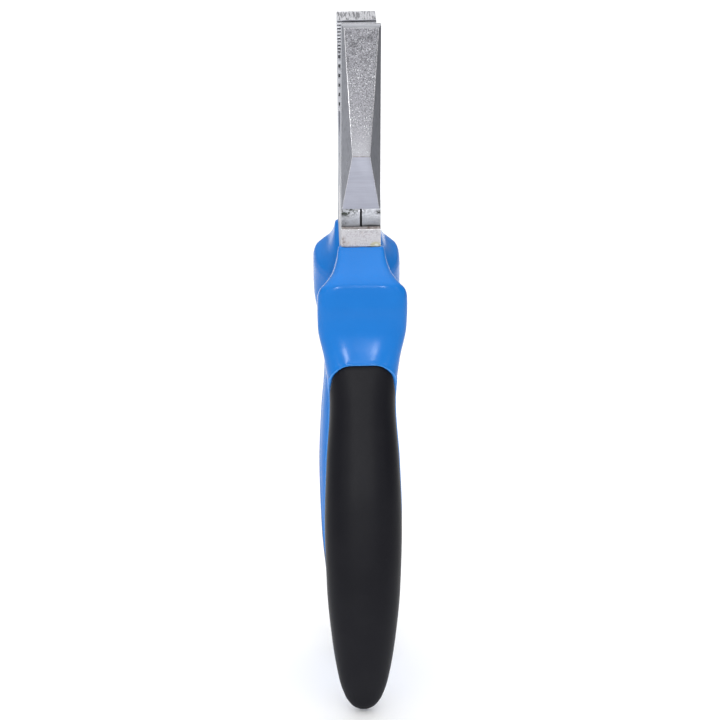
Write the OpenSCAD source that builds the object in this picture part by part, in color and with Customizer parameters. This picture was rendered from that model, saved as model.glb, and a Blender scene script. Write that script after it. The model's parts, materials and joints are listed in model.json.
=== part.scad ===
// Sprue nippers with square serrated jaws, a lap joint and two-component grips.
// The tool stands upright: +Z runs to the jaw tips, +X along the pivot, -Y is the front.
// The origin is on the pivot axis, in the flat left side of the joint.
// Each half is drawn closed, about the joint's middle, and then opened to its rest angle.

/* [Opening] */
// Angle between the closed jaws and the jaws at rest, in degrees
rest_open = 4.2; // [2:0.2:8]

/* [Joint] */
// Thickness of the steel at the joint
joint_w = 8.2; // [7.4:0.2:9]
// Radius of the two lap plates
plate_r = 9.3; // [9:0.1:9.6]
// How far the jaws and shanks stand out past the lap plates
shoulder_step = 0.5; // [0.4:0.1:0.8]
// Height of the bare plate edge between the two shoulders
plate_show = 4.7; // [4.3:0.1:5]
// Radius of the pivot rivet's shaft
rivet_r = 3.0; // [2.6:0.1:3.2]
// Radius of the pivot rivet's flush heads
rivet_head_r = 4.2; // [4:0.1:4.6]

/* [Jaws] */
// Height of the jaw tips above the pivot
tip_z = 40.4; // [38:0.1:44]
// Depth of one jaw at its tip, from gripping face to back
tip_depth = 4.9; // [4.4:0.1:5.4]
// How much lower the tip's end is at the gripping face than at the back
tip_slant = 1.0; // [0:0.1:1.2]
// Height of the crease where the jaw's back turns parallel to the tool
crease_z = 13.6; // [12:0.2:15]
// Width of the back strip at the crease
crease_strip = 3.7; // [3:0.1:5]
// Width of the back strip at the tip
tip_strip = 7.4; // [7:0.1:7.9]
// Width of the back strip at the joint's shoulder
shoulder_strip = 7.7; // [7:0.1:7.8]
// Sideways lean of each jaw away from the middle, in degrees
jaw_lean = 0.6; // [0:0.1:0.8]
// Pitch of the fine serrations at the tip
fine_pitch = 0.7; // [0.6:0.05:0.9]
// Number of fine serrations
fine_count = 10; // [6:1:10]
// Pitch of the coarse serrations below them
coarse_pitch = 2.0; // [1.8:0.1:2.1]
// Number of coarse serrations
coarse_count = 6; // [3:1:6]

/* [Grips] */
// Length of the grips below the pivot
grip_end = 108.5; // [106:0.2:112]
// Half width of the finger guard
guard_half = 9.45; // [9:0.05:10]
// Half width of the grip at the palm
palm_half = 8.25; // [7.8:0.05:8.6]
// Half width of the waist between the guard and the palm
waist_half = 7; // [6.8:0.1:7.4]
// Thickness of the soft overlay
overlay_t = 1.8; // [1.4:0.1:2.2]
// Height of the arched top of the soft overlay, below the pivot
overlay_top = 30.6; // [29:0.2:34]

/* [Springs] */
// Width of a leaf spring
leaf_w = 5; // [4:0.5:5.5]
// Thickness of a leaf spring
leaf_t = 0.7; // [0.6:0.1:0.9]
// Depth below the pivot at which the leaves meet
leaf_meet = 44; // [40:1:48]

/* [Hidden] */
$fn = 64;
half_t = joint_w / 2;
blade_w = joint_w - 0.1;    // the jaws are ground a little thinner than the joint
outer_r = plate_r + shoulder_step;
lean_z = plate_r + 0.2;     // height at which the lean starts
plate_gap = 0.25;           // round the edge of each lap plate
lap_gap = 0.1;              // between the two lap plates
face_gap = 0.2;             // between the closed gripping faces
run_gap = 0.05;             // pivot rivet in the moving plate
seat_gap = 0.02;            // pieces fixed to each other
shoulder_z = plate_show / 2;
rivet_head_t = 1.3;
tip_round = 0.8;            // height of the bevel on the tip's outer edge
tip_round_y = 0.45;
relief_z = plate_r + 1.4;   // round relief between the cutting edges and the joint
relief_r = 0.9;
cutter_rise = 0.9;          // depth of the two bevels that meet in a cutting edge
cutter_top = tip_z - 0.8 - fine_count * fine_pitch - coarse_count * coarse_pitch - 0.4;
tang_end = 92;
tang_half = 2.4;
chamfer = 0.5;              // on the shank's top edge
bare_end = 6.6;             // the grip starts just below this
full_end = 13;              // below this the steel narrows to the tang
seat_z = 18;                // height of the spring rivets, below the pivot
shank_in = 3.65;            // inner face of the steel where it narrows
tang_lean = 0.13;           // how much that face leans outwards for each mm down
seat_y = shank_in + tang_lean * (seat_z - full_end);
spring_pin_r = 1.0;
spring_head_r = 1.9;
spring_head_t = 0.7;
spring_pin_len = 3.2;
spring_top = -leaf_t - 0.06;   // underside of the head, above the seat
far = 60;

// --- placing -----------------------------------------------------------------

// Half A carries the front jaw and the rear handle, half B the rear jaw and the front handle.
module half_a() translate([half_t, 0, 0]) rotate([rest_open / 2, 0, 0]) children();
module half_b() translate([half_t, 0, 0]) rotate([-rest_open / 2, 0, 0]) rotate([0, 0, 180]) children();

// Extrudes an outline drawn as [y, z] points along X, centred.
module slab(t) translate([-t / 2, 0, 0]) rotate([90, 0, 90]) linear_extrude(t) children();

// --- steel halves ------------------------------------------------------------

module blade_outline()
    polygon([[-face_gap / 2, 0], [-face_gap / 2, tip_z - tip_slant],
             [-tip_depth + tip_round_y, tip_z],
             [-tip_depth - 0.1, tip_z - tip_round],
             [-outer_r, crease_z], [-outer_r, shoulder_z], [0, shoulder_z]]);

// Plane of the side bevel through the back strip's edge at the tip, crease and shoulder
bevel_a = [crease_strip / 2, -outer_r, crease_z];
bevel_b = [tip_strip / 2, -tip_depth, tip_z - tip_round];
bevel_c = [shoulder_strip / 2, -outer_r, shoulder_z];
bevel_n = cross(bevel_b - bevel_a, bevel_c - bevel_a);
bevel_u = (bevel_n[0] > 0 ? 1 : -1) * bevel_n / norm(bevel_n);

module side_bevel()
    translate(bevel_a)
        rotate([0, -asin(bevel_u[2]), atan2(bevel_u[1], bevel_u[0])])
            translate([0, -far, -far]) cube([far, 2 * far, 2 * far]);

// One groove across the gripping face, opening towards +Y, with its middle at height z
module groove(z, pitch, depth)
    translate([0, -face_gap / 2, z])
        slab(joint_w + 2)
            polygon([[0.3, -pitch * 0.45], [0, -pitch * 0.45], [-depth, 0],
                     [0, pitch * 0.45], [0.3, pitch * 0.45]]);

module serrations() {
    top = tip_z - tip_slant - 0.2;
    for (i = [0 : fine_count - 1])
        groove(top - (i + 0.5) * fine_pitch, fine_pitch, 0.32);
    coarse_top = top - fine_count * fine_pitch;
    for (i = [0 : coarse_count - 1])
        groove(coarse_top - (i + 0.5) * coarse_pitch, coarse_pitch, 0.75);
}

// The two bevels that leave a cutting edge along the middle of the gripping face
module cutter_bevels()
    for (side = [0, 1])
        mirror([side, 0, 0])
            translate([0, 0, relief_z])
                linear_extrude(cutter_top - relief_z)
                    polygon([[0.15, 1], [0.15, -face_gap / 2], [half_t + 1, -face_gap / 2 - cutter_rise],
                             [half_t + 1, 1]]);

module blade()
    translate([0, 0, lean_z]) rotate([0, jaw_lean, 0]) translate([0, 0, -lean_z])
        difference() {
            slab(blade_w) blade_outline();
            side_bevel();
            mirror([1, 0, 0]) side_bevel();
            serrations();
            cutter_bevels();
            translate([0, 0, relief_z])
                rotate([0, 90, 0]) cylinder(r = relief_r, h = joint_w + 2, center = true);
        }

// Steel from the joint down to where it narrows: its bare top as wide as the joint, with a
// chamfer, and the rest a little narrower, inside the grip
module shank() {
    slab(joint_w)
        polygon([[0, -shoulder_z], [outer_r - chamfer, -shoulder_z], [outer_r, -shoulder_z - chamfer],
                 [outer_r, -bare_end], [0, -bare_end]]);
    slab(joint_w - 0.4)
        polygon([[0, -shoulder_z - 1], [outer_r, -shoulder_z - 1], [outer_r, -full_end + 5],
                 [outer_r + 0.8, -full_end], [shank_in, -full_end], [1.5, -plate_r], [0, -plate_r + 1]]);
}

// Narrow steel inside the grip: the depths of its bends, its inner side and its depth there
TANG = [[full_end - 1, shank_in - tang_lean, 6.6], [25, shank_in + tang_lean * (25 - full_end), 5],
        [40, 8.8, 4.4], [62, 11.2, 4.2],
        [tang_end, 12.4, 2.8]];

module tang(extra = 0)
    slab(2 * (tang_half + extra))
        polygon(concat([for (p = TANG) [p[1], -p[0]]],
                       [for (i = [len(TANG) - 1 : -1 : 0]) [TANG[i][1] + TANG[i][2], -TANG[i][0]]]));

module spring_seat()
    translate([0, seat_y, -seat_z]) rotate([atan(tang_lean), 0, 0]) rotate([-90, 0, 0]) children();

module jaw_half()
    difference() {
        union() {
            blade();
            slab(joint_w) circle(r = plate_r, $fn = 96);
            shank();
            tang();
        }
        // room for the other half's lap plate
        translate([lap_gap / 2 - joint_w, 0, 0])
            rotate([0, 90, 0]) cylinder(r = plate_r + plate_gap, h = joint_w, $fn = 96);
        pivot_hole(run_gap);
        spring_seat() cylinder(r = spring_pin_r + seat_gap, h = 2 * (spring_pin_len + 0.2), center = true);
    }

// --- pivot -------------------------------------------------------------------

// Shaft with a flush cone at each end, along X about the joint's middle
module pivot_form(extra, reach)
    rotate([0, 90, 0])
        rotate_extrude()
            polygon([[0, -reach], [rivet_head_r + extra, -reach], [rivet_head_r + extra, -half_t],
                     [rivet_r + extra, -half_t + rivet_head_t], [rivet_r + extra, half_t - rivet_head_t],
                     [rivet_head_r + extra, half_t], [rivet_head_r + extra, reach], [0, reach]]);

module pivot_hole(extra) pivot_form(extra, half_t + 1);

module pivot_rivet() color("gainsboro") translate([half_t, 0, 0]) pivot_form(0, half_t - 0.02);

// --- grips -------------------------------------------------------------------

// Curves of the rear grip, closed, each a list of [depth below the pivot, value]. They are
// drawn for a grip of length grip_drawn and stretched to grip_end.
grip_drawn = 108.6;
HALF_WIDTH = [[6.8, 4.8], [9, 5.25], [10.6, 6.05], [11.5, 7], [12.5, 8.1], [13.4, guard_half - 0.5],
              [15, guard_half - 0.05], [17, guard_half], [22, guard_half - 0.1], [30, 8],
              [40, waist_half], [52, 7.75], [66, palm_half], [80, 7.9],
              [92, 6.85], [101.5, 5.35], [105.8, 3.95], [107.4, 2.9], [108.1, 2.2], [grip_drawn, 1.2]];
BACK = [[6.8, 10.8], [9.5, 13.8], [11.7, 16.5], [13.1, 17.3], [17, 17], [21, 16], [24, 15.6],
        [27, 15.8], [30, 16.3], [42, 18.1], [60, 21], [74, 21.6], [88, 20.6], [99, 18.6],
        [105, 16.9], [107.4, 16.1], [grip_drawn, 15.2]];
FRONT = [[6.8, 8.2], [8.2, 6.2], [9.6, 4.4], [11.2, 3.5], [13, 3.5], [17.5, 4.3], [26, 5.1],
         [31, 6.2], [46, 7.6], [60, 8.4], [84, 9.5], [95, 10.2], [102, 11.3], [106, 12.5],
         [107.4, 13], [grip_drawn, 13.9]];
WIDEST = [[6.8, 9.2], [12.4, 12.2], [14, 13.2], [17, 13.6], [22, 12.8], [33, 11.5], [46, 13.2],
          [60, 15.2], [74, 15.8], [88, 15.4], [99, 14.8], [grip_drawn, 14.6]];
// How square the outer and inner sides of each ring are; 2 is an ellipse
OUTER_POWER = [[6.8, 4], [13, 4.6], [18, 4.2], [28, 3], [40, 2.6], [90, 2.3], [grip_drawn, 2]];
INNER_POWER = [[6.8, 4], [11, 3], [14, 2.3], [40, 2.5], [90, 2.3], [grip_drawn, 2]];
// How far each ring slopes down towards the inner side, as a share of its depth there
SLANT = [[6.8, 0], [9, 0.05], [12.5, 0.35], [18, 0.35], [32, 0.05], [40, 0], [grip_drawn, 0]];

RING_Z = concat([for (i = [0 : 14]) 6.8 + 0.8 * i], [20.2], [for (i = [0 : 15]) 23 + 4.6 * i],
                [97, 100, 102.5, 104.5, 106, 107.3, 108.1, grip_drawn]);
SIDES = 20;

// Smooth monotone curve through points p, at z
function span(p, z, i = 0) = (i >= len(p) - 2 || z <= p[i + 1][0]) ? i : span(p, z, i + 1);
function rise(p, i) = (p[i + 1][1] - p[i][1]) / (p[i + 1][0] - p[i][0]);
function slope(p, i) =
    i == 0 ? rise(p, 0)
    : i == len(p) - 1 ? rise(p, i - 1)
    : rise(p, i - 1) * rise(p, i) <= 0 ? 0
    : 2 * rise(p, i - 1) * rise(p, i) / (rise(p, i - 1) + rise(p, i));
function curve(p, z) =
    let (i = span(p, z), h = p[i + 1][0] - p[i][0], t = (z - p[i][0]) / h)
        p[i][1] * (1 + 2 * t) * (1 - t) * (1 - t) + slope(p, i) * h * t * (1 - t) * (1 - t)
        + p[i + 1][1] * t * t * (3 - 2 * t) + slope(p, i + 1) * h * t * t * (t - 1);

function signed_power(v, p) = (v < 0 ? -1 : 1) * pow(abs(v), p);

// One ring of the grip at depth z, shrunk all round by inset
function ring(z, inset) =
    let (half = max(curve(HALF_WIDTH, z) - inset, 0.15), mid = curve(WIDEST, z),
         back = max(curve(BACK, z) - mid - inset, 0.15), front = max(mid - curve(FRONT, z) - inset, 0.15),
         outer = curve(OUTER_POWER, z), inner = curve(INNER_POWER, z))
        [for (k = [0 : SIDES - 1]) let (a = 360 * (k + 0.5) / SIDES, n = sin(a) > 0 ? outer : inner)
            let (y = (sin(a) > 0 ? back : front) * signed_power(sin(a), 2 / n))
                [half * signed_power(cos(a), 2 / n), mid + y,
                 -(z + curve(SLANT, z) * (back - y)) * (grip_end - inset) / grip_drawn]];

function rings(inset) = [for (z = RING_Z) ring(z, inset)];

// Closed solid through the rings, from the top down
module grip_loft(inset) {
    r = rings(inset);
    n = len(r);
    points = [for (q = r) for (p = q) p];
    top = [for (k = [SIDES - 1 : -1 : 0]) k];
    bottom = [for (k = [0 : SIDES - 1]) (n - 1) * SIDES + k];
    walls = [for (i = [0 : n - 2]) for (k = [0 : SIDES - 1])
        let (a = i * SIDES + k, b = i * SIDES + (k + 1) % SIDES)
            each [[a, b, a + SIDES], [b, b + SIDES, a + SIDES]]];
    polyhedron(points, concat([top], walls, [bottom]));
}

// Region taken by the soft overlay: behind the parting line, under an arched top
PARTING = [[12.3, -overlay_top + 4], [12.4, -36], [12.8, -40], [13.5, -46], [14.3, -53], [14.7, -60],
           [14.5, -68], [13.8, -84], [12.6, -93], [10.5, -98], [6, -101]];
arch_r = 4.7;
arch_half = 6.9;

module overlay_region()
    intersection() {
        slab(3 * guard_half)
            polygon(concat(PARTING, [[6, -2 * far], [far, -2 * far], [far, -overlay_top + 4]]));
        rotate([90, 0, 0])
            linear_extrude(4 * far, center = true)
                union() {
                    for (side = [-1, 1])
                        translate([side * (arch_half - arch_r), -overlay_top - arch_r]) circle(r = arch_r);
                    translate([arch_r - arch_half, -2 * arch_r - overlay_top])
                        square([2 * (arch_half - arch_r), 2 * arch_r]);
                    translate([-far, -3 * far]) square([2 * far, 3 * far - overlay_top - arch_r]);
                }
    }

module tang_pocket() {
    tang(seat_gap);
    shank();
}

// Open slot on the inner side, over the spring's seat
module seat_slot()
    translate([-leaf_w / 2 - 0.4, -far, -27]) cube([leaf_w + 0.8, far + seat_y + 0.85, 27]);

module grip_shell()
    difference() {
        grip_loft(0);
        difference() {
            overlay_region();
            grip_loft(overlay_t);
        }
        tang_pocket();
        seat_slot();
    }

module grip_overlay()
    difference() {
        intersection() {
            grip_loft(0);
            overlay_region();
        }
        grip_loft(overlay_t - seat_gap);
    }

// --- springs -----------------------------------------------------------------

leaf_seat = seat_y - leaf_t / 2 - seat_gap - 0.01;   // middle line of the leaf at its rivet
leaf_tip_y = 0.1 - leaf_meet * sin(rest_open / 2) + leaf_t / 2;
leaf_root = [leaf_seat - 3.4 * tang_lean, -seat_z + 3.4];
leaf_heel = [leaf_seat + 3 * tang_lean, -seat_z - 3];
leaf_touch = [leaf_tip_y, -leaf_meet];
heel_pull = leaf_heel[0] + 0.046 * (leaf_meet - seat_z - 3);
flat_part = 0.2;            // share of the line on the seat
bow_end = 0.85;             // share of the line down to where the leaves meet
lip = [1.1, 3.4];           // how far the lip turns back, and its length

// Middle line of a leaf: flat on its seat, bowed to the middle of the tool, lip turned back
function leaf_line(s) =
    s < flat_part ? leaf_root + (leaf_heel - leaf_root) * s / flat_part
    : s < bow_end ? leaf_bow((s - flat_part) / (bow_end - flat_part))
    : let (u = (s - bow_end) / (1 - bow_end)) leaf_touch + [lip[0] * u * u, -lip[1] * u];

function leaf_bow(t) =
    let (u = 1 - t)
        [u * u * u * leaf_heel[0] + 3 * t * u * u * heel_pull + 3 * t * t * u * (leaf_touch[0] + 0.2)
         + t * t * t * leaf_touch[0], leaf_heel[1] + (leaf_touch[1] - leaf_heel[1]) * t];

module leaf_spring()
    difference() {
        slab(leaf_w)
            polygon(concat([for (i = [0 : 40]) leaf_line(i / 40) + [-leaf_t / 2, 0]],
                           [for (i = [40 : -1 : 0]) leaf_line(i / 40) + [leaf_t / 2, 0]]));
        spring_seat() cylinder(r = spring_pin_r + seat_gap, h = 6, center = true);
    }

module spring_rivet()
    spring_seat()
        rotate_extrude()
            polygon([[0, spring_top - spring_head_t], [spring_head_r * 0.7, spring_top - spring_head_t],
                     [spring_head_r, spring_top - spring_head_t * 0.4], [spring_head_r, spring_top],
                     [spring_pin_r, spring_top], [spring_pin_r, spring_pin_len], [0, spring_pin_len]]);

// --- nodes -------------------------------------------------------------------

module front_jaw_half() color("silver") half_a() jaw_half();
module rear_jaw_half() color("silver") half_b() jaw_half();
module front_grip_shell() color("dodgerblue") half_b() grip_shell();
module rear_grip_shell() color("dodgerblue") half_a() grip_shell();
module front_grip_overlay() color("dimgray") half_b() grip_overlay();
module rear_grip_overlay() color("dimgray") half_a() grip_overlay();
module front_leaf_spring() color("slategray") half_b() leaf_spring();
module rear_leaf_spring() color("slategray") half_a() leaf_spring();
module front_spring_rivet() color("gainsboro") half_b() spring_rivet();
module rear_spring_rivet() color("gainsboro") half_a() spring_rivet();

front_jaw_half();
rear_jaw_half();
pivot_rivet();
front_grip_shell();
rear_grip_shell();
front_grip_overlay();
rear_grip_overlay();
front_leaf_spring();
rear_leaf_spring();
front_spring_rivet();
rear_spring_rivet();
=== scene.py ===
import json
import math

import bmesh
import bpy
from mathutils import Matrix, Vector

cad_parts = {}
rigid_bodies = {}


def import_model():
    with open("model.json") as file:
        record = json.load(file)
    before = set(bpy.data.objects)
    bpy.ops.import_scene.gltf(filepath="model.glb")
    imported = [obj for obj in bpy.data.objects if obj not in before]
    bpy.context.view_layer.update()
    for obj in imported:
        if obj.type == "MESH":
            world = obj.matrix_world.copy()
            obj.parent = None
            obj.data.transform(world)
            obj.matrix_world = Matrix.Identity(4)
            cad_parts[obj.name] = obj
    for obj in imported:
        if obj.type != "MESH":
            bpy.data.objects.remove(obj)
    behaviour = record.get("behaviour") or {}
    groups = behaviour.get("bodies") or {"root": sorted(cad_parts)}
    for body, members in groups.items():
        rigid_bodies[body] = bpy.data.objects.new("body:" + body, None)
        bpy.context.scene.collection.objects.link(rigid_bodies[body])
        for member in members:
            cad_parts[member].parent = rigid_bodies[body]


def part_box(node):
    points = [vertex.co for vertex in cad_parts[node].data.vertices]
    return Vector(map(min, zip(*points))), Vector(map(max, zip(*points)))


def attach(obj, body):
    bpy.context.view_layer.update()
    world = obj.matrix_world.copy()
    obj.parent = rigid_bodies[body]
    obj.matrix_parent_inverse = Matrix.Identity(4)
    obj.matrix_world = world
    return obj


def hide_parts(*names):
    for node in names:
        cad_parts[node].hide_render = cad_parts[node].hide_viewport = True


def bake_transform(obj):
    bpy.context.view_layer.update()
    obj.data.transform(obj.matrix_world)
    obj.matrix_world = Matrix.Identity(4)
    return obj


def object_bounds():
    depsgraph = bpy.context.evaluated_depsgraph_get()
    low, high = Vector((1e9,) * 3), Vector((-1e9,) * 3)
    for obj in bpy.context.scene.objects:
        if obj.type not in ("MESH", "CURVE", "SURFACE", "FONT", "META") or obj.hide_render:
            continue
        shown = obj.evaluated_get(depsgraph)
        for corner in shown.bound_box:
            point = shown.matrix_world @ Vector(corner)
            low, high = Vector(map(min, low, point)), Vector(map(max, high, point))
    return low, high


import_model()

CAD_LOW, CAD_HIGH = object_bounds()
MM = 0.001
WELD = 1e-7                     # m; points closer than this are one point

# --- the part's own sizes, in millimetres -------------------------------------
# A half is drawn closed, about the joint's middle: its grip towards +Y, its jaw towards -Y.

REST_OPEN = 4.2                 # angle between the jaws at rest, in degrees
PLATE_R = 9.3                   # radius of the lap plates
SHOULDER_Z = 2.35               # the bare plate edges end this far above and below the pivot
CREASE_Z = 13.6                 # the back strip ends and the polished slope begins
TIP_Z = 40.4
LEAF_MEET = 44                  # depth below the pivot at which the two leaves touch
RIVET_LOW, RIVET_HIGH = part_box("pivot_rivet")
MIDDLE = Vector(((RIVET_LOW.x + RIVET_HIGH.x) / 2, 0, 0))


def half_matrix(rear):
    """Places a drawn half at rest: the rear grip's half, or the front grip's, turned half round."""
    turn = Matrix.Rotation(math.radians(REST_OPEN / 2 if rear else -REST_OPEN / 2), 4, "X")
    if not rear:
        turn = turn @ Matrix.Rotation(math.pi, 4, "Z")
    return Matrix.Translation(MIDDLE) @ turn


HALVES = {
    "front": {"matrix": half_matrix(False), "body": "front_handle_half", "jaw": "rear_jaw_half"},
    "rear": {"matrix": half_matrix(True), "body": "rear_handle_half", "jaw": "front_jaw_half"},
}


# --- shader nodes -------------------------------------------------------------

def map_range(tree, value, low, high, to_low=0.0, to_high=1.0):
    """Turns low to high into to_low to to_high, smoothly, and holds the ends."""
    node = tree.nodes.new("ShaderNodeMapRange")
    node.interpolation_type = "SMOOTHSTEP"
    for key, number in zip(("From Min", "From Max", "To Min", "To Max"), (low, high, to_low, to_high)):
        node.inputs[key].default_value = number
    tree.links.new(value, node.inputs["Value"])
    return node.outputs["Result"]


def multiply(tree, a, b):
    """A socket times another socket or a number."""
    node = tree.nodes.new("ShaderNodeMath")
    node.operation = "MULTIPLY"
    tree.links.new(a, node.inputs[0])
    if isinstance(b, (int, float)):
        node.inputs[1].default_value = b
    else:
        tree.links.new(b, node.inputs[1])
    return node.outputs[0]


class Finish:
    """A procedural material. Its textures are laid out in millimetres of the object."""

    def __init__(self, name, color, roughness, **sockets):
        self.material = bpy.data.materials.new(name)
        self.material.use_nodes = True
        self.tree = self.material.node_tree
        self.nodes, self.links = self.tree.nodes, self.tree.links
        self.shader = self.nodes["Principled BSDF"]
        self.shader.inputs["Base Color"].default_value = (*color, 1)
        self.shader.inputs["Roughness"].default_value = roughness
        for key, value in sockets.items():
            self.shader.inputs[key.replace("_", " ")].default_value = value
        self.place = self.nodes.new("ShaderNodeTexCoord").outputs["Object"]
        self.height = None

    def noise(self, scale, detail=2.0, stretch=(1, 1, 1), distortion=0.0, rough=0.5):
        """Noise with features about 1/scale mm across, times stretch along each axis."""
        mapping = self.nodes.new("ShaderNodeMapping")
        mapping.inputs["Scale"].default_value = [scale / MM / s for s in stretch]
        self.links.new(self.place, mapping.inputs["Vector"])
        texture = self.nodes.new("ShaderNodeTexNoise")
        texture.inputs["Scale"].default_value = 1
        texture.inputs["Detail"].default_value = detail
        texture.inputs["Roughness"].default_value = rough
        texture.inputs["Distortion"].default_value = distortion
        self.links.new(mapping.outputs["Vector"], texture.inputs["Vector"])
        return texture.outputs["Fac"]

    def along(self, axis, low, high):
        """0 at low and 1 at high, in mm along an axis of the object."""
        split = self.nodes.new("ShaderNodeSeparateXYZ")
        self.links.new(self.place, split.inputs["Vector"])
        return self.span(split.outputs[axis], low * MM, high * MM)

    def span(self, value, low, high, to_low=0.0, to_high=1.0):
        """Turns low to high into to_low to to_high."""
        return map_range(self.tree, value, low, high, to_low, to_high)

    def times(self, a, b):
        return multiply(self.tree, a, b)

    def tint(self, fac, color):
        """Mixes a colour over what the shader has so far, as far as fac goes."""
        mix = self.nodes.new("ShaderNodeMix")
        mix.data_type = "RGBA"
        base = self.shader.inputs["Base Color"]
        if base.is_linked:
            self.links.new(base.links[0].from_socket, mix.inputs["A"])
        else:
            mix.inputs["A"].default_value = base.default_value
        mix.inputs["B"].default_value = (*color, 1)
        self.links.new(fac, mix.inputs["Factor"])
        self.links.new(mix.outputs["Result"], base)
        return self

    def vector_math(self, operation, a, b=(0, 0, 0)):
        node = self.nodes.new("ShaderNodeVectorMath")
        node.operation = operation
        node.inputs[1].default_value = b
        self.links.new(a, node.inputs[0])
        return node

    def spot(self, centre, inner, outer, squash=(1, 1, 1)):
        """1 within inner mm of a point of the object, 0 beyond outer mm. Squash narrows it above 1."""
        away = self.vector_math("SUBTRACT", self.place, [c * MM for c in centre])
        scaled = self.vector_math("MULTIPLY", away.outputs["Vector"], squash)
        length = self.vector_math("LENGTH", scaled.outputs["Vector"])
        return self.span(length.outputs["Value"], inner * MM, outer * MM, 1.0, 0.0)

    def roughen(self, fac, low, high):
        """Lets the roughness run from low to high with a texture."""
        self.links.new(self.span(fac, 0.25, 0.75, low, high), self.shader.inputs["Roughness"])
        return self

    def bump(self, fac, depth):
        """Adds relief, depth in mm."""
        node = self.nodes.new("ShaderNodeBump")
        node.inputs["Strength"].default_value = 1.0
        node.inputs["Distance"].default_value = depth * MM
        self.links.new(fac, node.inputs["Height"])
        if self.height:
            self.links.new(self.height, node.inputs["Normal"])
        self.height = node.outputs["Normal"]
        self.links.new(self.height, self.shader.inputs["Normal"])
        return self


# --- materials ----------------------------------------------------------------

def blasted_steel():
    """The jaws' back strip: grey and speckled, more so near the tip."""
    f = Finish("blasted_steel", (0.335, 0.335, 0.36), 0.5, Metallic=1.0)
    grain = f.noise(4.2, 3, rough=0.75)
    near_tip = f.span(f.along("Z", 10, 38), 0, 1, 0.35, 0.85)
    f.tint(f.times(f.span(grain, 0.48, 0.58), near_tip), (0.09, 0.09, 0.1))
    f.tint(f.span(f.noise(4.0, 2), 0.6, 0.7), (0.78, 0.79, 0.82))
    smudges = f.times(f.span(f.noise(0.9, 3), 0.48, 0.62), f.along("Z", 28, 36))
    f.tint(f.times(smudges, 0.55), (0.1, 0.1, 0.11))
    f.tint(f.times(f.span(f.noise(0.25, 2), 0.35, 0.7), 0.25), (0.26, 0.26, 0.285))
    f.tint(f.times(f.along("Z", 21, 14), 0.6), (0.44, 0.44, 0.47))
    f.roughen(grain, 0.42, 0.6)
    return f.bump(grain, 0.045)


def ground_steel(name="ground_steel", color=(0.46, 0.47, 0.515), stretch=(1, 1, 14), rough=(0.26, 0.4),
                 contrast=0.8, depth=0.006):
    """Ground or polished steel, with fine lines along the way it was worked."""
    f = Finish(name, color, 0.3, Metallic=1.0)
    lines = f.noise(7.0, 3, stretch)
    f.tint(f.times(f.span(lines, 0.4, 0.75), contrast), tuple(c * 0.72 for c in color))
    f.tint(f.times(f.span(f.noise(0.2, 2), 0.5, 0.75), 0.3), tuple(c * 0.82 for c in color))
    f.roughen(f.noise(1.5, 2, stretch), *rough)
    return f.bump(lines, depth)


def end_steel():
    """The jaws' square ends, with coarse saw lines."""
    f = Finish("sawn_steel", (0.48, 0.48, 0.5), 0.42, Metallic=1.0)
    lines = f.noise(3.0, 3, (1, 8, 8), distortion=0.6)
    f.tint(f.span(lines, 0.46, 0.6), (0.17, 0.17, 0.18))
    f.roughen(lines, 0.35, 0.55)
    return f.bump(lines, 0.03)


def scaled_steel():
    """The joint plates' edges: scaled and stained, with dark marks in places and a painted shadow along the
    lower edge of the right-hand plate.
    """
    f = Finish("scaled_steel", (0.41, 0.42, 0.455), 0.42, Metallic=1.0)
    grain = f.noise(3.0, 3)
    f.tint(f.times(f.span(grain, 0.5, 0.72), 0.5), (0.34, 0.34, 0.36))
    f.tint(f.times(f.span(f.noise(0.8, 3), 0.45, 0.7), 0.3), (0.3, 0.29, 0.29))
    patchy = f.span(f.noise(1.9, 4, distortion=0.8), 0.38, 0.54, 0.25, 1.0)
    f.tint(f.times(f.spot((0.7, -9.2, 1.5), 0.8, 2.5, (0.7, 0.3, 1.2)), patchy), (0.04, 0.045, 0.04))
    f.tint(f.times(f.spot((0.6, -9.2, -1.2), 0.1, 1.1, (1, 0.3, 1)), f.times(patchy, 0.6)), (0.1, 0.1, 0.1))
    # painted shadow: a dark band along the lower edge of the right-hand plate
    f.tint(f.times(f.spot((6.3, -9.2, -2.3), 0.35, 0.95, (0.28, 0.3, 1)), 0.85), (0.06, 0.06, 0.06))
    f.tint(f.times(f.spot((7.8, -9.2, 1.0), 0.3, 1.1, (1, 0.3, 1.6)), patchy), (0.05, 0.05, 0.05))
    f.roughen(grain, 0.35, 0.6)
    return f.bump(grain, 0.04)


def shank_steel():
    """The bare shank above the collar: scaled, a little brown, with a drop of glue at its right."""
    f = Finish("shank_steel", (0.405, 0.4, 0.42), 0.4, Metallic=1.0)
    grain = f.noise(3.2, 3)
    f.tint(f.times(f.span(grain, 0.48, 0.66), 0.55), (0.29, 0.275, 0.28))
    f.tint(f.times(f.span(f.noise(0.5, 3), 0.58, 0.72), 0.5), (0.34, 0.3, 0.26))
    patchy = f.span(f.noise(2.2, 3), 0.42, 0.6, 0.2, 1.0)
    f.tint(f.times(f.spot((0.3, -10.8, -5.4), 0.1, 1.3, (1.2, 0.3, 0.6)), patchy), (0.16, 0.12, 0.11))
    f.tint(f.times(f.spot((7.1, -10.5, -6.1), 0.9, 1.25, (0.9, 0.3, 1.1)), 0.9), (0.36, 0.345, 0.24))
    f.tint(f.times(f.spot((7.3, -10.5, -5.9), 0.25, 0.6, (1, 0.3, 1.1)), 0.8), (0.5, 0.51, 0.46))
    f.roughen(grain, 0.32, 0.55)
    return f.bump(grain, 0.03)


def ledge_shade_steel():
    """The steps, dull and a little brown, painted dark as shade: the shoulder under the plates, and the end
    of the back strip.
    """
    f = Finish("ledge_shade_steel", (0.3, 0.28, 0.28), 0.5, Metallic=1.0)
    f.tint(f.span(f.noise(1.5, 3), 0.45, 0.7), (0.16, 0.13, 0.12))
    return f.roughen(f.noise(4, 2), 0.4, 0.6)


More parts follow.
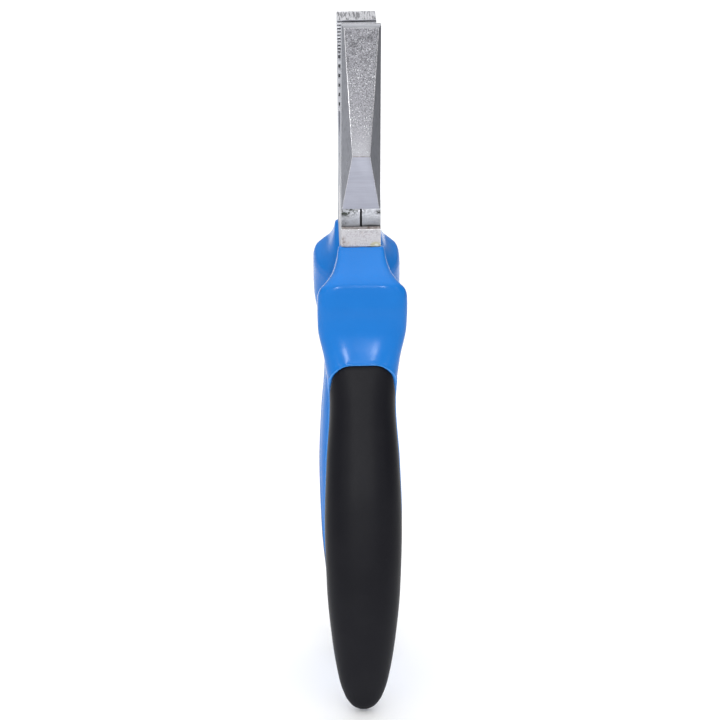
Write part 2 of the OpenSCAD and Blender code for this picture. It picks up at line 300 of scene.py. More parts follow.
def edge_steel(name="worn_and_highlight_edge_steel", fade=0.0):
    """Edges painted bright, partly as rubbed wear and partly as painted highlight. With a fade the
    highlight turns duller down the jaw.
    """
    f = Finish(name, (0.82, 0.82, 0.84), 0.22, Metallic=1.0)
    f.tint(f.times(f.span(f.noise(1.2, 3), 0.5, 0.7), 0.5), (0.6, 0.6, 0.63))
    if fade:
        # painted highlight: the bright edges dim from 31 mm down to 15 mm
        f.tint(f.times(f.along("Z", 31, 15), fade), (0.3, 0.3, 0.32))
    return f.roughen(f.noise(3, 2), 0.2, 0.36)


def dark_steel():
    """Faces painted near black as shade: those turned down, the plates' chamfers where they meet in the
    joint, and those inside the grips.
    """
    f = Finish("shade_black_steel", (0.025, 0.025, 0.027), 0.5, Metallic=1.0)
    f.tint(f.span(f.noise(1.8, 3), 0.5, 0.7), (0.05, 0.05, 0.055))
    return f.roughen(f.noise(4, 2), 0.4, 0.6)


def turned_steel():
    """Rivet heads, with the rings that turning leaves."""
    f = Finish("turned_steel", (0.5, 0.5, 0.52), 0.3, Metallic=1.0)
    waves = f.nodes.new("ShaderNodeTexWave")
    waves.wave_type = "RINGS"
    waves.rings_direction = "X"
    waves.inputs["Scale"].default_value = 0.4 / MM
    waves.inputs["Distortion"].default_value = 0.6
    waves.inputs["Detail"].default_value = 1.0
    f.links.new(f.place, waves.inputs["Vector"])
    rings = waves.outputs["Fac"]
    f.tint(f.times(rings, 0.25), (0.38, 0.38, 0.4))
    f.tint(f.times(f.span(f.noise(0.6, 3), 0.5, 0.75), 0.4), (0.3, 0.29, 0.29))
    f.roughen(rings, 0.26, 0.38)
    return f.bump(rings, 0.004)


def spring_steel():
    """Hardened strip, rolled lengthwise, with a trace of brown."""
    f = Finish("spring_steel", (0.3, 0.3, 0.32), 0.34, Metallic=1.0)
    lines = f.noise(5, 3, (1, 12, 12))
    f.tint(f.span(lines, 0.4, 0.7), (0.2, 0.2, 0.21))
    f.tint(f.times(f.span(f.noise(0.4, 2), 0.5, 0.7), 0.4), (0.24, 0.2, 0.17))
    f.roughen(lines, 0.28, 0.42)
    return f.bump(lines, 0.004)


def blue_plastic():
    """The hard shell: glossy, a little uneven."""
    f = Finish("blue_plastic", (0.012, 0.195, 0.64), 0.17, Specular_IOR_Level=0.22)
    f.tint(f.times(f.span(f.noise(0.12, 2), 0.35, 0.7), 0.35), (0.008, 0.17, 0.58))
    grain = f.noise(3.5, 3)
    f.tint(f.times(f.span(grain, 0.55, 0.8), 0.12), (0.04, 0.26, 0.74))
    f.roughen(grain, 0.15, 0.2)
    f.bump(f.noise(0.5, 2), 0.012)
    return f.bump(grain, 0.004)


def lip_highlight_plastic():
    """The shell's thin lip beside the soft overlay, painted a lighter blue as a highlight along it."""
    f = Finish("lip_highlight_plastic", (0.06, 0.31, 0.82), 0.22, Specular_IOR_Level=0.3)
    f.tint(f.times(f.span(f.noise(0.6, 2), 0.35, 0.7), 0.4), (0.02, 0.22, 0.72))
    return f.roughen(f.noise(3.5, 3), 0.2, 0.3)


def black_rubber():
    """The soft overlay: matt, with a fine grain."""
    f = Finish("black_soft_plastic", (0.0055, 0.0055, 0.0085), 0.5, Specular_IOR_Level=0.14)
    f.tint(f.times(f.span(f.noise(0.1, 2), 0.35, 0.7), 0.5), (0.009, 0.009, 0.012))
    grain = f.noise(4.5, 3)
    f.tint(f.times(f.span(grain, 0.55, 0.8), 0.4), (0.015, 0.015, 0.018))
    f.roughen(grain, 0.36, 0.48)
    return f.bump(grain, 0.012)


STEEL = {
    "side": ground_steel(),
    "flank": ground_steel("flank_steel", (0.46, 0.475, 0.52), (1, 1, 14), (0.45, 0.6)),
    "blasted": blasted_steel(),
    "polished": ground_steel("polished_steel", (0.39, 0.4, 0.465), (40, 1, 2), (0.48, 0.54), 0.3,
                             depth=0.002),
    "tip": ground_steel("tip_steel", (0.37, 0.375, 0.4), (6, 1, 1), (0.3, 0.4), 0.5),
    "face": ground_steel("gripping_steel", (0.55, 0.56, 0.6), (4, 1, 1), (0.35, 0.5), 0.5),
    # painted shade: the serrations' downward flanks are darkened as the grooves' shade
    "groove": ground_steel("groove_shade_steel", (0.12, 0.12, 0.13), (4, 1, 1), (0.4, 0.6)),
    "end": end_steel(),
    "rim": scaled_steel(),
    "shank": shank_steel(),
    # painted shade: the ledge finish darkens the chamfer under the plates and the crease line
    "ledge": ledge_shade_steel(),
    # painted shade: the dark finish stands for shade on faces turned down and in the plates' gap
    "dark": dark_steel(),
    # bright edges: partly wear, partly painted highlight
    "edge": edge_steel(),
    "strip_edge": edge_steel("strip_edge_steel", 0.85),
}
STEEL_INDEX = {name: i for i, name in enumerate(STEEL)}
BLUE = blue_plastic().material
LIP = lip_highlight_plastic().material
BLACK = black_rubber().material
TURNED = turned_steel().material
SPRING = spring_steel().material


# --- steel halves ---------------------------------------------------------------

SLACK = 0.35                    # a face's middle may lie this far outside its outline
SQUARE, NEARLY, MOSTLY, PARTLY = 0.98, 0.9, 0.7, 0.3    # how far a normal points along an axis
END_RISE, TIP_RISE = 0.8, 0.4   # normals rise more than this on the jaw's end and its tip bevels
TIP_DEPTH = 3                   # faces this far below the tip may be the jaw's end
GRIPPING_Y = -1.5               # faces behind this, above the joint, grip


def steel_zone(normal, centre):
    """Which finish a face of a half has, from its place in the half drawn closed, in mm."""
    if centre.z < SLACK - SHOULDER_Z:
        if abs(normal.x) > NEARLY:
            return "flank"
        # the chamfer under the plates takes the ledge finish, painted dark as shade
        if normal.y > 0.5 and normal.z > 0.5:
            return "ledge"
        # the other faces below the shoulder are painted near black, as shade
        return "shank" if normal.y > MOSTLY else "dark"
    radius = math.hypot(centre.y, centre.z)
    if radius < PLATE_R + SLACK and abs(normal.x) < 0.1:
        return "rim"
    if abs(normal.x) > SQUARE:
        return "flank"
    if normal.z > END_RISE and centre.z > TIP_Z - TIP_DEPTH:
        return "end"
    # faces turned down are painted near black, as shade
    if normal.z < -NEARLY:
        return "dark"
    if normal.y < -NEARLY:
        return "blasted" if centre.z > CREASE_Z else "polished"
    if normal.y < -PARTLY:
        return "tip" if normal.z > TIP_RISE else "side"
    if centre.y > GRIPPING_Y and radius > PLATE_R + 3:
        # serration flanks turned down take the dark groove finish, painted shade
        return "groove" if normal.z < -PARTLY else "face"
    return "side"


FLAT_ANGLE, BRIGHT_EDGE_ANGLE, SHARP_ANGLE = 0.4, 12, 25   # in degrees
LAP_CHAMFER = 0.17              # on the plates' inner edges, where they meet
ON_LAP = 0.1                    # an edge this near the joint's middle is one of those
SHORT_EDGE, LONG_EDGE = 0.6, 2  # only longer ones are painted bright; only longer ones bound the back strip
BRIGHT_EDGE_WIDTH = 0.2                 # width of the bright edges, but for these:
BACK_EDGES = [                  # between two finishes, how wide, in which finish
    # the back strip's edges are painted bright: wear and painted highlight
    ("blasted", "side", 0.06, "strip_edge"),
    # the crease where the back strip ends is painted as a dark line, painted shade
    ("blasted", "polished", 0.07, "ledge"),
]
PLAIN = {STEEL_INDEX[name] for name in ("dark", "edge", "strip_edge")}      # without bright edges


def steel_half(name, half):
    """A detailed copy of a steel half: clean faces, edges painted bright as wear and highlight, a finish
    for each surface.
    """
    source = bpy.data.objects[name]
    bm = bmesh.new()
    bm.from_mesh(source.data)
    bmesh.ops.remove_doubles(bm, verts=bm.verts, dist=WELD)
    bmesh.ops.dissolve_limit(bm, angle_limit=math.radians(FLAT_ANGLE), verts=bm.verts, edges=bm.edges)
    back = half["matrix"].inverted()
    turn = back.to_3x3()
    for face in bm.faces:
        face.smooth = True
        centre = back @ face.calc_center_median() / MM
        face.material_index = STEEL_INDEX[steel_zone(turn @ face.normal, centre)]
    for first, second, width, line in BACK_EDGES:
        pair = {STEEL_INDEX[first], STEEL_INDEX[second]}
        chosen = [e for e in bm.edges if len(e.link_faces) == 2 and e.calc_length() > LONG_EDGE * MM
                  and {f.material_index for f in e.link_faces} == pair]
        bmesh.ops.bevel(bm, geom=chosen, offset=width * MM, segments=1, profile=0.5, affect="EDGES",
                        clamp_overlap=True, material=STEEL_INDEX[line])
    # the plates' meeting edges get a chamfer painted near black: painted shade in the gap
    lap = [e for e in bm.edges if len(e.link_faces) == 2
           and all(abs(v.co.x - MIDDLE.x) < ON_LAP * MM for v in e.verts)
           and STEEL_INDEX["rim"] in [f.material_index for f in e.link_faces]]
    bmesh.ops.bevel(bm, geom=lap, offset=LAP_CHAMFER * MM, segments=1, profile=0.5, affect="EDGES",
                    clamp_overlap=False, material=STEEL_INDEX["dark"])
    weights = bm.edges.layers.float.new("bevel_weight_edge")
    for edge in bm.edges:
        if len(edge.link_faces) != 2 or edge.calc_length() < SHORT_EDGE * MM:
            continue
        if PLAIN & {f.material_index for f in edge.link_faces}:
            continue
        if edge.calc_face_angle(0) > math.radians(BRIGHT_EDGE_ANGLE):
            edge[weights] = 1
    mesh = bpy.data.meshes.new(name + "_detailed")
    bm.to_mesh(mesh)
    bm.free()
    mesh.set_sharp_from_angle(angle=math.radians(SHARP_ANGLE))
    for finish in STEEL.values():
        mesh.materials.append(finish.material)
    piece = bpy.data.objects.new(name + "_detailed", mesh)
    bpy.context.collection.objects.link(piece)
    # the bevels take the bright edge finish: wear and painted highlight
    bevel = piece.modifiers.new("bright_edges", "BEVEL")
    bevel.limit_method = "WEIGHT"
    bevel.width = BRIGHT_EDGE_WIDTH * MM
    bevel.segments = 2
    bevel.use_clamp_overlap = True
    bevel.harden_normals = True
    bevel.material = STEEL_INDEX["edge"]
    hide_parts(name)
    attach(piece, half["body"])


# --- grips ----------------------------------------------------------------------

# Each list runs down the grip: depth below the pivot, then a measure at that depth.

GRIP_TOP, GRIP_DRAWN, GRIP_END = 6.8, 108.6, 108.5
SKIN_INSET = 0.06               # keeps the smooth skin inside the CAD's facets
GUARD, WAIST, PALM = 9.45, 7.0, 8.25
HALF_WIDTH = [(6.8, 4.8), (9, 5.25), (10.6, 6.05), (11.5, 7), (12.5, 8.1), (13.4, GUARD - 0.5),
              (15, GUARD - 0.05), (17, GUARD), (22, GUARD - 0.1), (30, 8), (40, WAIST), (52, 7.75),
              (66, PALM), (80, 7.9), (92, 6.85), (101.5, 5.35), (105.8, 3.95), (107.4, 2.9),
              (108.1, 2.2), (GRIP_DRAWN, 1.2)]
# y of the outer side, of the inner side and of the widest place
BACK = [(6.8, 10.8), (9.5, 13.8), (11.7, 16.5), (13.1, 17.3), (17, 17), (21, 16), (24, 15.6),
        (27, 15.8), (30, 16.3), (42, 18.1), (60, 21), (74, 21.6), (88, 20.6), (99, 18.6),
        (105, 16.9), (107.4, 16.1), (GRIP_DRAWN, 15.2)]
FRONT = [(6.8, 8.2), (8.2, 6.2), (9.6, 4.4), (11.2, 3.5), (13, 3.5), (17.5, 4.3), (26, 5.1),
         (31, 6.2), (46, 7.6), (60, 8.4), (84, 9.5), (95, 10.2), (102, 11.3), (106, 12.5),
         (107.4, 13), (GRIP_DRAWN, 13.9)]
WIDEST = [(6.8, 9.2), (12.4, 12.2), (14, 13.2), (17, 13.6), (22, 12.8), (33, 11.5), (46, 13.2),
          (60, 15.2), (74, 15.8), (88, 15.4), (99, 14.8), (GRIP_DRAWN, 14.6)]
# powers of the section's two half superellipses, slant of a ring, and y of the overlay's edge
OUTER_POWER = [(6.8, 4), (13, 4.6), (18, 4.2), (28, 3), (40, 2.6), (90, 2.3), (GRIP_DRAWN, 2)]
INNER_POWER = [(6.8, 4), (11, 3), (14, 2.3), (40, 2.5), (90, 2.3), (GRIP_DRAWN, 2)]
SLANT = [(6.8, 0), (9, 0.05), (12.5, 0.35), (18, 0.35), (32, 0.05), (40, 0), (GRIP_DRAWN, 0)]
PARTING = [(26, 12.3), (30, 12.3), (36, 12.4), (40, 12.8), (46, 13.5), (53, 14.3), (60, 14.7),
           (68, 14.5), (84, 13.8), (93, 12.6), (98, 10.5), (101, 6), (103, -4)]
ARCH_TOP, ARCH_HALF, ARCH_R = 30.6, 6.9, 4.7
ARCH_FLARE, ARCH_BLEND = 0.3, 1.6   # how the arch runs out into the edges down the sides
OVERLAY_T = 1.4
GROOVE = 0.3                    # depth of the groove at the overlay's edge
BEAD = 0.15                     # height of the shell's lip beside it
# mm inside the overlay's edge (outside it when negative)
BEAD_FOOT, LIP_OUTER, LIP_INNER = -0.75, -0.3, -0.1
GROOVE_LIP, GROOVE_FLOOR = -0.22, -0.05
ROUND_MIDDLE, ROUND_END = 0.12, 0.45    # the overlay's rounded rim
COLLAR = [(0.12, 0.18), (0.42, 0.3), (1.3, 0.15)]   # the collar's rounded top: mm inwards, mm up
COLLAR_MIDDLE, END_MIDDLE = 0.1, 0.04   # how far the closing points at the two ends stand out
RING_STEPS = [(16, 0.4), (36, 0.7), (90, 1.1), (105, 0.6), (GRIP_DRAWN, 0.25)]  # down to, mm apart
SIDES = 88                      # points round a ring
FINE = 720                      # steps to space them evenly


def curve(points, z):
    """A list's value at depth z, on the same smooth monotone curve as in the CAD."""
    z = min(max(z, points[0][0]), points[-1][0])
    i = 0
    while i < len(points) - 2 and z > points[i + 1][0]:
        i += 1

    def rise(k):
        return (points[k + 1][1] - points[k][1]) / (points[k + 1][0] - points[k][0])

    def slope(k):
        if k == 0:
            return rise(0)
        if k == len(points) - 1:
            return rise(k - 1)
        a, b = rise(k - 1), rise(k)
        return 0 if a * b <= 0 else 2 * a * b / (a + b)

    h = points[i + 1][0] - points[i][0]
    t = (z - points[i][0]) / h
    return (points[i][1] * (1 + 2 * t) * (1 - t) ** 2 + slope(i) * h * t * (1 - t) ** 2
            + points[i + 1][1] * t * t * (3 - 2 * t) + slope(i + 1) * h * t * t * (t - 1))


def ring(z, inset):
    """Points round the grip at depth z, evenly spaced, from the middle of its back."""
    inset += SKIN_INSET
    half = max(curve(HALF_WIDTH, z) - inset, 0.15)
    mid = curve(WIDEST, z)
    back = max(curve(BACK, z) - mid - inset, 0.15)
    front = max(mid - curve(FRONT, z) - inset, 0.15)
    outer, inner = curve(OUTER_POWER, z), curve(INNER_POWER, z)
    fine = []
    for k in range(FINE + 1):
        a = math.radians(90 + 360 * k / FINE)
        c, s = math.cos(a), math.sin(a)
        power = 2 / (outer if s > 0 else inner)
        fine.append((math.copysign(abs(c) ** power, c) * half,
                     (back if s > 0 else front) * math.copysign(abs(s) ** power, s)))
    length = [0]
    for p, q in zip(fine, fine[1:]):
        length.append(length[-1] + math.dist(p, q))
    points, k = [], 0
    for i in range(SIDES):
        want = length[-1] * i / SIDES
        while length[k + 1] < want:
            k += 1
        t = (want - length[k]) / (length[k + 1] - length[k])
        points.append([fine[k][j] + (fine[k + 1][j] - fine[k][j]) * t for j in (0, 1)])
    slant, stretch = curve(SLANT, z), (GRIP_END - inset) / GRIP_DRAWN
    return [Vector((x, mid + y, -(z + slant * (back - y)) * stretch)) for x, y in points]


def depths():
    """Depths of the rings: close together at the collar, the brow and the end."""
    z, out = GRIP_TOP, []
    while z < GRIP_DRAWN - 0.05:
        out.append(z)
        z += next(step for below, step in RING_STEPS if z < below)
    return out + [GRIP_DRAWN]


def overlay_side(p):
    """Distance inside the soft overlay's edge, in mm: positive where the overlay is."""
    depth = -p.z
    lean = (curve(PARTING, depth + 0.5) - curve(PARTING, depth - 0.5))
    side = (p.y - curve(PARTING, depth)) / math.hypot(1, lean)
    x, z = abs(p.x) - (ARCH_HALF - ARCH_R), ARCH_TOP + ARCH_R - depth
    arch = ARCH_R - (math.hypot(max(x, 0), z) if z > 0 else x + ARCH_FLARE * z)
    near = max(ARCH_BLEND - abs(side - arch), 0) / ARCH_BLEND
    return min(side, arch) - ARCH_BLEND * near ** 2 / 4


def split_at(points, faces, value, level):
    """Adds points where a value crosses a level, and cuts the triangles there."""
    made = {}

    def crossing(a, b):
        key = (min(a, b), max(a, b))
        if key not in made:
            t = (level - value[a]) / (value[b] - value[a])
            made[key] = len(points[0])
            for layer in points:
                layer.append(layer[a].lerp(layer[b], t))
            value.append(level)
        return made[key]

    out = []
    for tri in faces:
        signs = [0 if abs(value[v] - level) < 1e-6 else (1 if value[v] > level else -1) for v in tri]
        if 1 not in signs or -1 not in signs:
            out.append(tri)
            continue
        for _ in range(3):          # turn the triangle until its odd corner comes first
            if signs[0] != 0 and signs[0] != signs[1] and signs[0] != signs[2]:
                break
            tri, signs = tri[1:] + tri[:1], signs[1:] + signs[:1]
        a, b, c = tri
        if signs[1] == 0:
            ca = crossing(c, a)
            out += [(a, b, ca), (b, c, ca)]
        elif signs[2] == 0:
            ab = crossing(a, b)
            out += [(a, ab, c), (ab, b, c)]
        else:
            ab, ca = crossing(a, b), crossing(c, a)
            out += [(a, ab, ca), (ab, b, ca), (b, c, ca)]
    return out


def smoothstep(low, high, value):
    """0 up to low, 1 from high on, smooth between."""
    t = min(max((value - low) / (high - low), 0), 1)
    return t * t * (3 - 2 * t)


def grip_surface():
    """The grip's skin, the skin sunk under the overlay, faces, and each point's overlay_side."""
    zs = depths()
    skin = [p for z in zs for p in ring(z, 0)]
    deep = [p for z in zs for p in ring(z, OVERLAY_T)]
    faces = []
    for i in range(len(zs) - 1):
        for k in range(SIDES):
            a, b = i * SIDES + k, i * SIDES + (k + 1) % SIDES
            c, d = a + SIDES, b + SIDES
            faces += [(a, c, b), (b, c, d)] if (i + k) % 2 else [(a, c, d), (a, d, b)]
    end = (len(zs) - 1) * SIDES
    for layer in (skin, deep):
        layer.append(sum(layer[end:end + SIDES], Vector()) / SIDES - Vector((0, 0, END_MIDDLE)))
    faces += [(end + k, len(skin) - 1, end + (k + 1) % SIDES) for k in range(SIDES)]
    value = [overlay_side(p) for p in skin]
    for level in (BEAD_FOOT, LIP_OUTER, LIP_INNER, 0.0, ROUND_MIDDLE, ROUND_END):
        faces = split_at((skin, deep), faces, value, level)
    return skin, deep, faces, value


def skin_normals(points, faces):
    """Normals at the points, weighted by the areas of the faces round them."""
    normals = [Vector() for _ in points]
    for a, b, c in faces:
        n = (points[b] - points[a]).cross(points[c] - points[a])
        for v in (a, b, c):
            normals[v] += n
    return [n.normalized() if n.length else n for n in normals]


def mesh_piece(name, points, faces, matrix, materials, zones=None):
    """A smooth mesh from points in mm, placed by a half's matrix; zones are its faces' materials."""
    used = sorted({v for f in faces for v in f})
    number = {v: i for i, v in enumerate(used)}
    mesh = bpy.data.meshes.new(name)
    mesh.from_pydata([points[v] * MM for v in used], [], [[number[v] for v in f] for f in faces])
    for material in materials:
        mesh.materials.append(material)
    if zones:
        mesh.polygons.foreach_set("material_index", zones)
    mesh.validate()
    bm = bmesh.new()
    bm.from_mesh(mesh)
    bmesh.ops.dissolve_degenerate(bm, dist=WELD, edges=bm.edges)
    bmesh.ops.recalc_face_normals(bm, faces=bm.faces)
    for face in bm.faces:
        face.smooth = True
    bm.to_mesh(mesh)
    bm.free()
    mesh.transform(matrix)
    piece = bpy.data.objects.new(name, mesh)
    bpy.context.collection.objects.link(piece)
    return piece


SKIN, DEEP, SKIN_FACES, SIDE = grip_surface()
NORMALS = skin_normals(SKIN, SKIN_FACES)
ROUNDING = 0.001                # mm
LIP_FACES = {f for f in SKIN_FACES
             if all(LIP_OUTER - ROUNDING < SIDE[v] < LIP_INNER + ROUNDING for v in f)}


def grip_shell(half, which):
    """The hard shell: the whole grip, sunk where the overlay lies on it, with a rounded collar."""
    points = []
    for p, n, d, s in zip(SKIN, NORMALS, DEEP, SIDE):
        sunk = GROOVE * smoothstep(GROOVE_LIP, GROOVE_FLOOR, s)
        raised = BEAD * smoothstep(BEAD_FOOT, LIP_OUTER, s)
        points.append(p - n * (sunk - raised) if s < 0 else d)
    faces = list(SKIN_FACES)
    middle = sum(SKIN[:SIDES], Vector()) / SIDES
    above = range(SIDES)
    for inward, lift in COLLAR:
        row = range(len(points), len(points) + SIDES)
        points += [p + (middle - p).normalized() * inward + Vector((0, 0, lift)) for p in SKIN[:SIDES]]
        for k in range(SIDES):
            after = (k + 1) % SIDES
            faces += [(above[k], above[after], row[k]), (above[after], row[after], row[k])]
        above = row
    points.append(middle + Vector((0, 0, COLLAR_MIDDLE)))
    faces += [(above[k], above[(k + 1) % SIDES], len(points) - 1) for k in range(SIDES)]
    # the lip's faces take the lighter blue: a painted highlight
    zones = [int(f in LIP_FACES) for f in faces]
    piece = mesh_piece(which + "_grip_shell_smooth", points, faces, half["matrix"], [BLUE, LIP], zones)
    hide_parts(which + "_grip_shell")
    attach(piece, half["body"])


def grip_overlay(half, which):
    """The soft overlay: a skin with rounded edges, closed underneath."""
    faces = [f for f in SKIN_FACES if sum(SIDE[v] for v in f) > 0]
    outer = [p - n * (GROOVE * (1 - smoothstep(0.0, ROUND_END, s)))
             for p, n, s in zip(SKIN, NORMALS, SIDE)]
    count = len(outer)
    points = outer + [p.lerp(d, 0.9) for p, d in zip(outer, DEEP)]
    edges = {e: True for a, b, c in faces for e in ((a, b), (b, c), (c, a))}
    rim = [e for e in edges if (e[1], e[0]) not in edges]
    faces = (faces + [(a + count, c + count, b + count) for a, b, c in faces]
             + [f for a, b in rim for f in ((b, a, a + count), (b, a + count, b + count))])
    piece = mesh_piece(which + "_grip_overlay_smooth", points, faces, half["matrix"], [BLACK])
    piece.data.set_sharp_from_angle(angle=math.radians(50))
    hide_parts(which + "_grip_overlay")
    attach(piece, half["body"])


# --- springs --------------------------------------------------------------------

LEAF_W, LEAF_T = 5.0, 0.7
LEAF_CORNER = 0.16              # rounding of the strip's edges
LEAF_STEPS = 60
SEAT_Y, SEAT_Z = 4.3, 18        # the rivet's place on the tang's inner side
TANG_LEAN = 0.13                # how far the tang goes outwards per mm down
ABOVE_RIVET, BELOW_RIVET = 3.4, 3   # the flat part of the leaf
LIFT_OFF, SOFT_LANDING = 0.046, 0.2     # shape of the bow at its two ends
LIP_LONG, LIP_BACK = 3.4, 1.1   # the turned-back lip below the touching place
FLAT_PART, BOW_END = 0.2, 0.85  # shares of the leaf's line
TONGUE_TOP, TONGUE_END = 0.03, 0.94     # it narrows above and below these shares
LEAF_SEAT = SEAT_Y - LEAF_T / 2 - 0.03
TIP_Y = 0.1 - LEAF_MEET * math.sin(math.radians(REST_OPEN / 2)) + LEAF_T / 2
ROOT = Vector((0, LEAF_SEAT - ABOVE_RIVET * TANG_LEAN, ABOVE_RIVET - SEAT_Z))
HEEL = Vector((0, LEAF_SEAT + BELOW_RIVET * TANG_LEAN, -BELOW_RIVET - SEAT_Z))
TOUCH = Vector((0, TIP_Y, -LEAF_MEET))


def leaf_line(s):
    """A drawn leaf's middle line: flat on its seat, bowed to the middle, then the turned-back lip."""
    if s < FLAT_PART:
        return ROOT.lerp(HEEL, s / FLAT_PART)
    if s < BOW_END:
        t = (s - FLAT_PART) / (BOW_END - FLAT_PART)
        u = 1 - t
        pull = HEEL.y + LIFT_OFF * (HEEL.z - TOUCH.z)
        land = TOUCH.y + SOFT_LANDING
        y = u ** 3 * HEEL.y + 3 * t * u * u * pull + 3 * t * t * u * land + t ** 3 * TOUCH.y
        return Vector((0, y, HEEL.z + (TOUCH.z - HEEL.z) * t))
    u = (s - BOW_END) / (1 - BOW_END)
    return TOUCH + Vector((0, LIP_BACK * u * u, -LIP_LONG * u))


def leaf_spring(half, which):
    """A strip with rounded edges swept along the leaf's line, narrowed to a tongue at each end."""
    section = []
    for quarter, (sx, sy) in enumerate(((1, 1), (-1, 1), (-1, -1), (1, -1))):
        for step in range(4):
            a = math.radians(90 * quarter + 30 * step)
            section.append((sx, sy, LEAF_CORNER * math.cos(a), LEAF_CORNER * math.sin(a)))
    points, nudge = [], 0.004
    for i in range(LEAF_STEPS + 1):
        s = i / LEAF_STEPS
        p, ahead, behind = leaf_line(s), leaf_line(min(s + nudge, 1)), leaf_line(max(s - nudge, 0))
        out = (ahead - behind).normalized().cross(Vector((1, 0, 0)))
        near_end = max(0, (s - TONGUE_END) / (1 - TONGUE_END), (TONGUE_TOP - s) / TONGUE_TOP)
        wide = LEAF_W / 2 * math.sqrt(1 - near_end ** 2 * 0.75)
        for sx, sy, dx, dy in section:
            across = Vector((sx * (wide - LEAF_CORNER) + dx, 0, 0))
            points.append(p + across + out * (sy * (LEAF_T / 2 - LEAF_CORNER) + dy))
    n, last = len(section), LEAF_STEPS * len(section)
    faces = [(a, b, b + n, a + n) for i in range(0, last, n)
             for a, b in ((i + k, i + (k + 1) % n) for k in range(n))]
    faces += [tuple(range(n)), tuple(range(last + n - 1, last - 1, -1))]
    piece = mesh_piece(which + "_leaf_spring_bent", points, faces, half["matrix"], [SPRING])
    piece.data.set_sharp_from_angle(angle=math.radians(40))
    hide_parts(which + "_leaf_spring")
    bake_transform(piece)


# --- kept CAD pieces --------------------------------------------------------------

RIVET_ROUND = 0.12
RIVET_WELD = 1e-6               # m


def finish_rivet(name):
    """A rivet keeps its CAD shape. It gets rounded rims and turned faces."""
    rivet = bpy.data.objects[name]
    rivet.data.materials.clear()
    rivet.data.materials.append(TURNED)
    weld = rivet.modifiers.new("weld", "WELD")
    weld.merge_threshold = RIVET_WELD
    bevel = rivet.modifiers.new("rounded_rim", "BEVEL")
    bevel.width = RIVET_ROUND * MM
    bevel.segments = 3
    bevel.angle_limit = math.radians(30)


for which, half in HALVES.items():
    steel_half(half["jaw"], half)
    grip_shell(half, which)
    grip_overlay(half, which)
    leaf_spring(half, which)
    finish_rivet(which + "_spring_rivet")
finish_rivet("pivot_rivet")


# --- floor, light and camera --------------------------------------------------------

FLOOR_GAP, FLOOR_HALF = 0.0005, 6       # m below the part, m from the middle to an edge
HORIZON, ZENITH = 0.45, 1.98            # strength of the world's light
BACKDROP = 0.72                         # grey of the world itself, as the camera sees it
GRIP_AIM = (0, 0, -0.03)
SOFTBOXES = [                           # name, place, aim, size in m, power in W
    ("strip_left", (-0.13, -0.8, -0.045), GRIP_AIM, (0.035, 0.19), 1.05),
    ("strip_right", (0.102, -0.8, -0.045), GRIP_AIM, (0.035, 0.19), 0.75),
    ("front", (0, -1.22, 0.28), GRIP_AIM, (0.4, 0.2), 0.6),
    ("rim_left", (-0.56, -0.84, 0.02), (0, 0, 0), (0.08, 0.35), 0.38),
    ("rim_right", (0.6, -0.8, 0.02), (0, 0, 0), (0.06, 0.35), 0.35),
]


def studio_floor():
    """White paper, greyer in front and to the sides, where only reflections see it."""
    bm = bmesh.new()
    bmesh.ops.create_grid(bm, x_segments=8, y_segments=8, size=FLOOR_HALF)
    mesh = bpy.data.meshes.new("studio_floor")
    bm.to_mesh(mesh)
    bm.free()
    floor = bpy.data.objects.new("studio_floor", mesh)
    bpy.context.collection.objects.link(floor)
    floor.location.z = CAD_LOW.z - FLOOR_GAP
    f = Finish("studio_paper", (0.96, 0.96, 0.96), 0.8, Specular_IOR_Level=0.1)
    f.tint(f.along("Y", -25, -160), (0.42, 0.42, 0.42))
    f.tint(f.along("X", -180, -520), (0.55, 0.55, 0.55))
    f.tint(f.along("X", 180, 520), (0.22, 0.22, 0.22))
    mesh.materials.append(f.material)


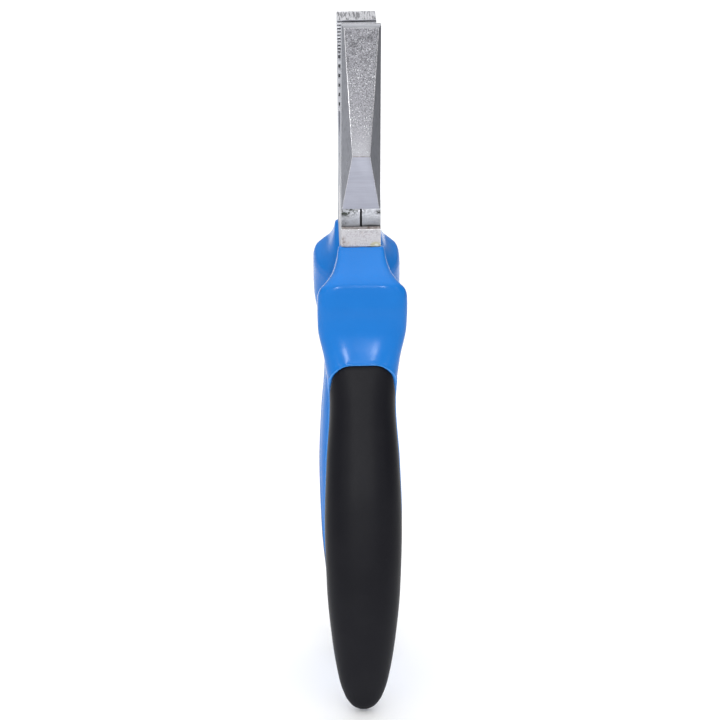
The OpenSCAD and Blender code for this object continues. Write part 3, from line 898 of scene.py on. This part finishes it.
def studio_world():
    """Soft light all round: brighter overhead, dimmer to the sides, most of all to the right."""
    world = bpy.data.worlds.new("studio")
    bpy.context.scene.world = world
    world.use_nodes = True
    tree = world.node_tree
    nodes, links = tree.nodes, tree.links
    place = nodes.new("ShaderNodeTexCoord")
    split = nodes.new("ShaderNodeSeparateXYZ")
    links.new(place.outputs["Generated"], split.inputs["Vector"])
    right = map_range(tree, split.outputs["X"], 0.3, 0.9, 1.0, 0.24)
    left = map_range(tree, split.outputs["X"], -0.9, -0.15, 0.6, 1.0)
    height = map_range(tree, split.outputs["Z"], 0.1, 0.95, HORIZON, ZENITH)
    light = multiply(tree, multiply(tree, right, left), height)
    shown = nodes.new("ShaderNodeMix")
    links.new(nodes.new("ShaderNodeLightPath").outputs["Is Camera Ray"], shown.inputs["Factor"])
    links.new(light, shown.inputs["A"])
    shown.inputs["B"].default_value = BACKDROP
    back = nodes["Background"]
    back.inputs["Color"].default_value = (0.985, 0.99, 1.0, 1)
    links.new(shown.outputs["Result"], back.inputs["Strength"])


def softbox(name, place, aim, size, power):
    """A rectangular lamp."""
    light = bpy.data.lights.new(name, "AREA")
    light.shape = "RECTANGLE"
    light.size, light.size_y = size
    light.energy = power
    lamp = bpy.data.objects.new(name, light)
    bpy.context.collection.objects.link(lamp)
    lamp.location = place
    lamp.rotation_euler = (Vector(aim) - Vector(place)).to_track_quat("-Z", "Y").to_euler()


def photo_camera():
    """The photograph's view: from the front, 19 degrees above, with a long lens."""
    elevation, azimuth, roll, distance, lens = 19, 2.45, 0.13, 0.65, 151.65
    aim, shift = Vector((0.0041, 0, -0.03456)), 0.00013
    e, a, r = (math.radians(v) for v in (elevation, azimuth, roll))
    right = Vector((math.cos(a), -math.sin(a), 0))
    ahead = Vector((math.sin(a), math.cos(a), 0))
    up = ahead * math.sin(e) + Vector((0, 0, math.cos(e)))
    forward = ahead * math.cos(e) - Vector((0, 0, math.sin(e)))
    x_axis = right * math.cos(r) - up * math.sin(r)
    y_axis = right * math.sin(r) + up * math.cos(r)
    data = bpy.data.cameras.new("photo_camera")
    data.lens, data.sensor_width = lens, 36
    data.clip_start, data.clip_end = 0.01, 50
    camera = bpy.data.objects.new("photo_camera", data)
    bpy.context.collection.objects.link(camera)
    axes = Matrix((x_axis, y_axis, -forward)).transposed().to_4x4()
    camera.matrix_world = Matrix.Translation(aim - forward * distance + right * shift) @ axes
    bpy.context.scene.camera = camera


studio_floor()
studio_world()
for box in SOFTBOXES:
    softbox(*box)
photo_camera()
bpy.context.scene.view_settings.view_transform = "Standard"
